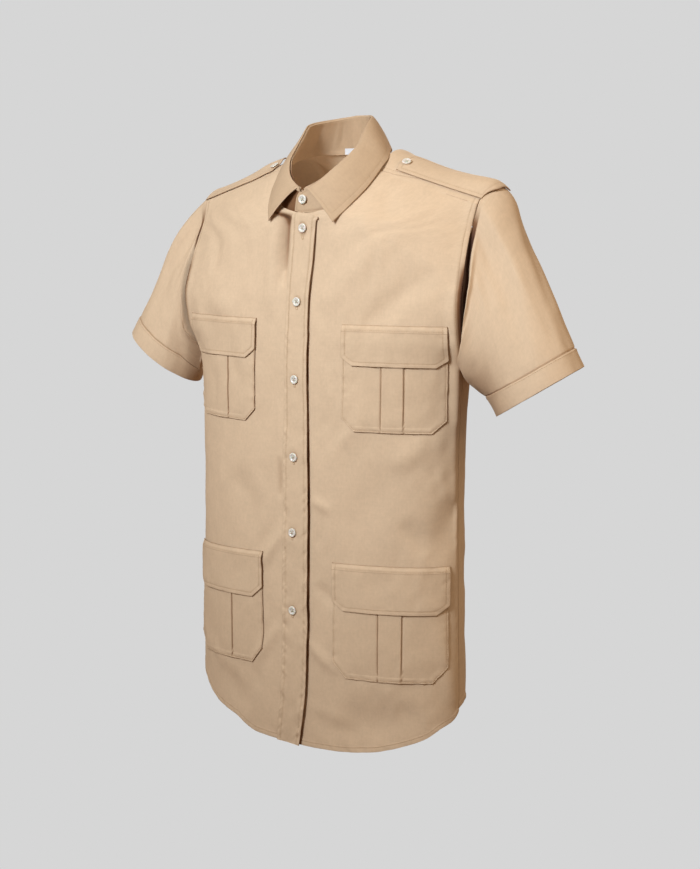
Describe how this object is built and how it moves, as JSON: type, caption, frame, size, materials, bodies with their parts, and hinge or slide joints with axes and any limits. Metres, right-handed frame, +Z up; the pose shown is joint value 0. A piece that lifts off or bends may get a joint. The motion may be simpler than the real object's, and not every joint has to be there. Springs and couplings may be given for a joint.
{
  "type": "shirt",
  "caption": "Short-sleeved khaki cotton twill work shirt with a collar on a stand, shoulder straps, a buttoned placket and flapped patch pockets with box pleats.",
  "frame": {"origin": "the middle of the neck opening, level with the neck seam at the back, where the wearer's neck holds the shirt", "axes": "+Z up the wearer's neck, the wearer faces -Y and the wearer's left is +X"},
  "size_m": [0.7027, 0.1995, 0.8192],
  "materials": {
    "shell": "matte cotton twill",
    "trim": "matte cotton twill, sewn double",
    "button": "pearly gloss",
    "label": "matte woven tape"
  },
  "bodies": {
    "root": {"front_left": "shell", "front_right": "shell", "back": "shell", "yoke": "shell", "sleeve_left": "shell", "sleeve_right": "shell", "placket": "trim", "collar_stand": "trim", "collar_fall": "trim", "strap_left": "trim", "strap_right": "trim", "pocket_chest_left": "trim", "flap_chest_left": "trim", "pocket_chest_right": "trim", "flap_chest_right": "trim", "pocket_lower_left": "trim", "flap_lower_left": "trim", "pocket_lower_right": "trim", "flap_lower_right": "trim", "button_1": "button", "button_2": "button", "button_3": "button", "button_4": "button", "button_5": "button", "button_6": "button", "button_7": "button", "strap_button_left": "button", "strap_button_right": "button", "neck_label": "label"}
  },
  "joints": []
}
